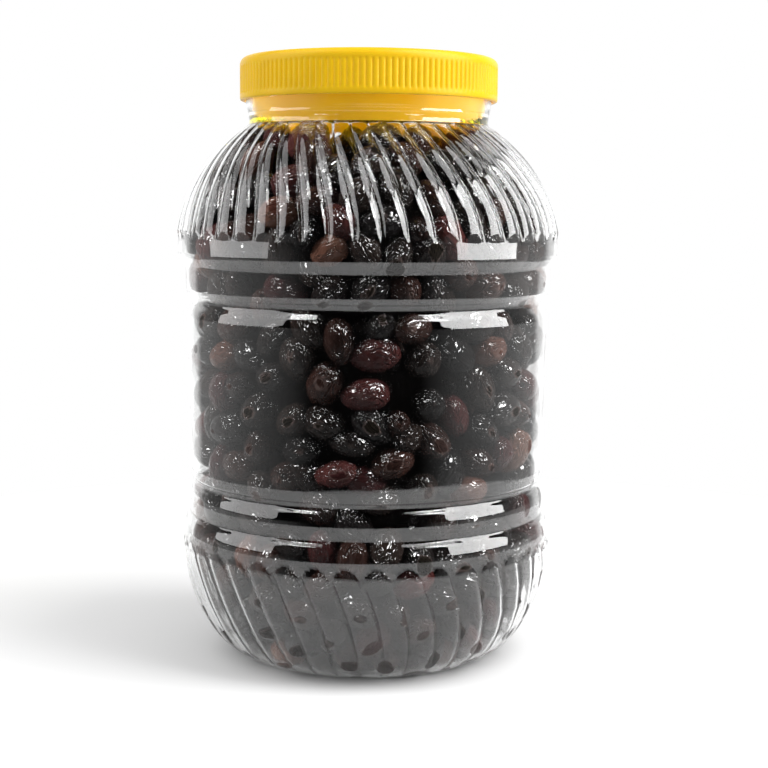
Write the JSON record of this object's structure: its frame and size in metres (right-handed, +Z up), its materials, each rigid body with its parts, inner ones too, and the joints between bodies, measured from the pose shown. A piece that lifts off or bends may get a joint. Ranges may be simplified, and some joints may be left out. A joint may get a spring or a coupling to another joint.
{
  "type": "jar of olives",
  "caption": "Clear wide-mouth jar with twisted flutes on shoulder and foot, full of wrinkled black olives, under a ribbed yellow screw cap.",
  "frame": {"origin": "centre of the base, on the surface that the jar stands on", "axes": "+Z up along the jar's axis, towards the cap; the picture's viewer stands at -Y, with +X to the viewer's right"},
  "size_m": [0.1778, 0.178, 0.2792],
  "materials": {
    "jar": "clear gloss plastic",
    "cap": "satin",
    "olives": "oily, wrinkled"
  },
  "bodies": {
    "root": {"jar": "jar", "cap": "cap", "olives": "olives"}
  },
  "joints": []
}
